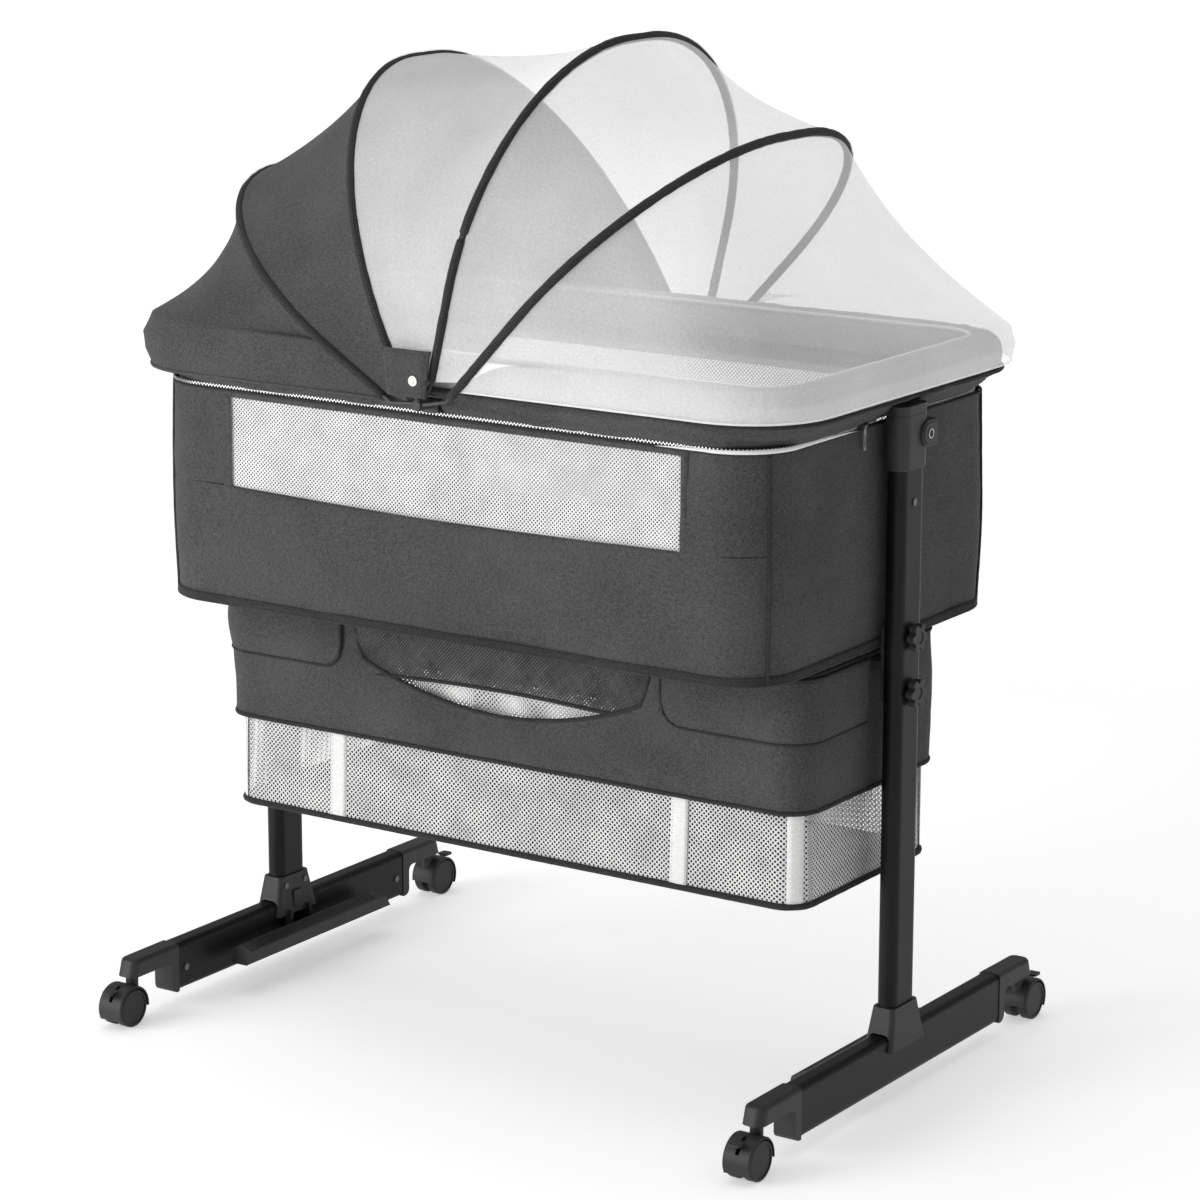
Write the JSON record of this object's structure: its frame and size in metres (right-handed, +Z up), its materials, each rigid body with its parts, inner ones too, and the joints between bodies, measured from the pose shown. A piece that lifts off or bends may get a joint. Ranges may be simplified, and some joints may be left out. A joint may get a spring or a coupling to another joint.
{
  "type": "bassinet on stand",
  "caption": "Charcoal fabric bassinet with mesh windows and a hooped net canopy, on a height-adjustable caster stand with a storage basket below",
  "frame": {"origin": "centre of the footprint, on the floor", "axes": "+Z up, +X to the right end seen from the front, -Y the front long side with the pivot and snap tab"},
  "size_m": [0.99, 0.74, 1.2642],
  "materials": {
    "stand_paint": "satin",
    "moulded_plastic": "matte",
    "button_plastic": "satin",
    "caster_rubber": "matte",
    "brake_plastic": "satin",
    "bright_steel": "satin",
    "frame_tube": "satin",
    "charcoal_fabric": "matte",
    "grey_lining": "matte",
    "board": "matte",
    "webbing": "matte",
    "clip_plastic": "gloss",
    "mesh_fabric": "matte",
    "net_fabric": "matte",
    "zip_tape": "matte"
  },
  "bodies": {
    "stand": {"foot_beam_left": "stand_paint", "foot_beam_right": "stand_paint", "end_caps": "moulded_plastic", "column_brackets": "moulded_plastic", "pedal_pins": "bright_steel", "outer_column_left": "stand_paint", "outer_column_right": "stand_paint", "height_collars": "moulded_plastic", "stand_screws": "bright_steel", "basket_frame": "frame_tube", "storage_basket": "charcoal_fabric", "basket_board": "board", "basket_straps": "webbing", "organiser_band": "charcoal_fabric", "organiser_pockets": "charcoal_fabric", "organiser_mesh": "mesh_fabric", "basket_clips": "clip_plastic"},
    "bassinet": {"inner_columns": "bright_steel", "rim_saddles": "moulded_plastic", "rim_frame": "frame_tube", "shell_fabric": "charcoal_fabric", "window_meshes": "mesh_fabric", "inner_liner": "grey_lining", "base_board": "board", "mattress": "grey_lining", "padded_rim": "grey_lining", "rim_band": "charcoal_fabric", "zipper": "zip_tape", "canopy_pivots": "moulded_plastic", "snap_tab": "charcoal_fabric", "hood_end_panel": "charcoal_fabric"},
    "pedal_left": {"foot_pedal_left": "moulded_plastic"},
    "button_left": {"height_button_left": "button_plastic"},
    "knob_lower_left": {"star_knob_lower_left": "moulded_plastic"},
    "knob_upper_left": {"star_knob_upper_left": "moulded_plastic"},
    "fork_front_left": {"caster_fork_front_left": "moulded_plastic"},
    "wheels_front_left": {"caster_wheels_front_left": "caster_rubber"},
    "lever_front_left": {"brake_lever_front_left": "brake_plastic"},
    "fork_back_left": {"caster_fork_back_left": "moulded_plastic"},
    "wheels_back_left": {"caster_wheels_back_left": "caster_rubber"},
    "lever_back_left": {"brake_lever_back_left": "brake_plastic"},
    "pedal_right": {"foot_pedal_right": "moulded_plastic"},
    "button_right": {"height_button_right": "button_plastic"},
    "knob_lower_right": {"star_knob_lower_right": "moulded_plastic"},
    "knob_upper_right": {"star_knob_upper_right": "moulded_plastic"},
    "fork_front_right": {"caster_fork_front_right": "moulded_plastic"},
    "wheels_front_right": {"caster_wheels_front_right": "caster_rubber"},
    "lever_front_right": {"brake_lever_front_right": "brake_plastic"},
    "fork_back_right": {"caster_fork_back_right": "moulded_plastic"},
    "wheels_back_right": {"caster_wheels_back_right": "caster_rubber"},
    "lever_back_right": {"brake_lever_back_right": "brake_plastic"},
    "zip_pull": {"zipper_pull": "bright_steel"},
    "hoop_1_body": {"hoop_1": "frame_tube", "hood_top_panel": "charcoal_fabric"},
    "hoop_2_body": {"hoop_2": "frame_tube", "net_top_panel": "net_fabric"},
    "hoop_3_body": {"hoop_3": "frame_tube", "net_side_panel": "net_fabric"},
    "hoop_4_body": {"hoop_4": "frame_tube", "net_end_panel": "net_fabric"}
  },
  "joints": [
    {"name": "height_adjust", "type": "slide", "parent": "stand", "child": "bassinet", "axis": [0, 0, 1], "range_m": [0, 0.15]},
    {"name": "swivel_front_left", "type": "hinge", "parent": "stand", "child": "fork_front_left", "pos_m": [-0.47, -0.319, 0.06], "axis": [0, 0, 1], "continuous": true},
    {"name": "roll_front_left", "type": "hinge", "parent": "fork_front_left", "child": "wheels_front_left", "pos_m": [-0.47, -0.336, 0.025], "axis": [1, 0, 0], "continuous": true},
    {"name": "brake_front_left", "type": "hinge", "parent": "fork_front_left", "child": "lever_front_left", "pos_m": [-0.47, -0.348, 0.045], "axis": [1, 0, 0], "range_deg": [0, 15]},
    {"name": "swivel_back_left", "type": "hinge", "parent": "stand", "child": "fork_back_left", "pos_m": [-0.47, 0.319, 0.06], "axis": [0, 0, 1], "continuous": true},
    {"name": "roll_back_left", "type": "hinge", "parent": "fork_back_left", "child": "wheels_back_left", "pos_m": [-0.47, 0.336, 0.025], "axis": [1, 0, 0], "continuous": true},
    {"name": "brake_back_left", "type": "hinge", "parent": "fork_back_left", "child": "lever_back_left", "pos_m": [-0.47, 0.348, 0.045], "axis": [-1, 0, 0], "range_deg": [0, 15]},
    {"name": "pedal_left", "type": "hinge", "parent": "stand", "child": "pedal_left", "pos_m": [-0.4495, 0, 0.0445], "axis": [0, 1, 0], "range_deg": [0, 12], "stiffness_Nm_per_rad": 1.5, "springref_deg": -11.46},
    {"name": "button_left", "type": "slide", "parent": "stand", "child": "button_left", "axis": [1, 0, 0], "range_m": [0, 0.003], "stiffness_N_per_m": 800, "springref_m": -0.002},
    {"name": "knob_lower_left", "type": "hinge", "parent": "stand", "child": "knob_lower_left", "pos_m": [-0.483, 0, 0.508], "axis": [1, 0, 0], "continuous": true},
    {"name": "knob_upper_left", "type": "hinge", "parent": "stand", "child": "knob_upper_left", "pos_m": [-0.483, 0, 0.576], "axis": [1, 0, 0], "continuous": true},
    {"name": "swivel_front_right", "type": "hinge", "parent": "stand", "child": "fork_front_right", "pos_m": [0.47, -0.319, 0.06], "axis": [0, 0, 1], "continuous": true},
    {"name": "roll_front_right", "type": "hinge", "parent": "fork_front_right", "child": "wheels_front_right", "pos_m": [0.47, -0.336, 0.025], "axis": [1, 0, 0], "continuous": true},
    {"name": "brake_front_right", "type": "hinge", "parent": "fork_front_right", "child": "lever_front_right", "pos_m": [0.47, -0.348, 0.045], "axis": [1, 0, 0], "range_deg": [0, 15]},
    {"name": "swivel_back_right", "type": "hinge", "parent": "stand", "child": "fork_back_right", "pos_m": [0.47, 0.319, 0.06], "axis": [0, 0, 1], "continuous": true},
    {"name": "roll_back_right", "type": "hinge", "parent": "fork_back_right", "child": "wheels_back_right", "pos_m": [0.47, 0.336, 0.025], "axis": [1, 0, 0], "continuous": true},
    {"name": "brake_back_right", "type": "hinge", "parent": "fork_back_right", "child": "lever_back_right", "pos_m": [0.47, 0.348, 0.045], "axis": [-1, 0, 0], "range_deg": [0, 15]},
    {"name": "pedal_right", "type": "hinge", "parent": "stand", "child": "pedal_right", "pos_m": [0.4495, 0, 0.0445], "axis": [0, -1, 0], "range_deg": [0, 12], "stiffness_Nm_per_rad": 1.5, "springref_deg": -11.46},
    {"name": "button_right", "type": "slide", "parent": "stand", "child": "button_right", "axis": [-1, 0, 0], "range_m": [0, 0.003], "stiffness_N_per_m": 800, "springref_m": -0.002},
    {"name": "knob_lower_right", "type": "hinge", "parent": "stand", "child": "knob_lower_right", "pos_m": [0.483, 0, 0.508], "axis": [1, 0, 0], "continuous": true},
    {"name": "knob_upper_right", "type": "hinge", "parent": "stand", "child": "knob_upper_right", "pos_m": [0.483, 0, 0.576], "axis": [1, 0, 0], "continuous": true},
    {"name": "zip_pull_swing", "type": "hinge", "parent": "bassinet", "child": "zip_pull", "pos_m": [0.4514, -0.065, 0.8365], "axis": [0, -1, 0], "range_deg": [0, 100]},
    {"name": "canopy_hoop_1", "type": "hinge", "parent": "bassinet", "child": "hoop_1_body", "pos_m": [-0.012, 0, 0.85], "axis": [0, -1, 0], "range_deg": [0, 10], "deforming": ["hood_end_panel"]},
    {"name": "canopy_hoop_2", "type": "hinge", "parent": "hoop_1_body", "child": "hoop_2_body", "pos_m": [-0.012, 0, 0.85], "axis": [0, -1, 0], "range_deg": [0, 24], "deforming": ["hood_top_panel"]},
    {"name": "canopy_hoop_3", "type": "hinge", "parent": "hoop_2_body", "child": "hoop_3_body", "pos_m": [-0.012, 0, 0.85], "axis": [0, -1, 0], "range_deg": [0, 34], "deforming": ["net_top_panel"]},
    {"name": "canopy_hoop_4", "type": "hinge", "parent": "hoop_3_body", "child": "hoop_4_body", "pos_m": [-0.012, 0, 0.85], "axis": [0, -1, 0], "range_deg": [0, 22], "deforming": ["net_side_panel", "net_end_panel"]}
  ]
}
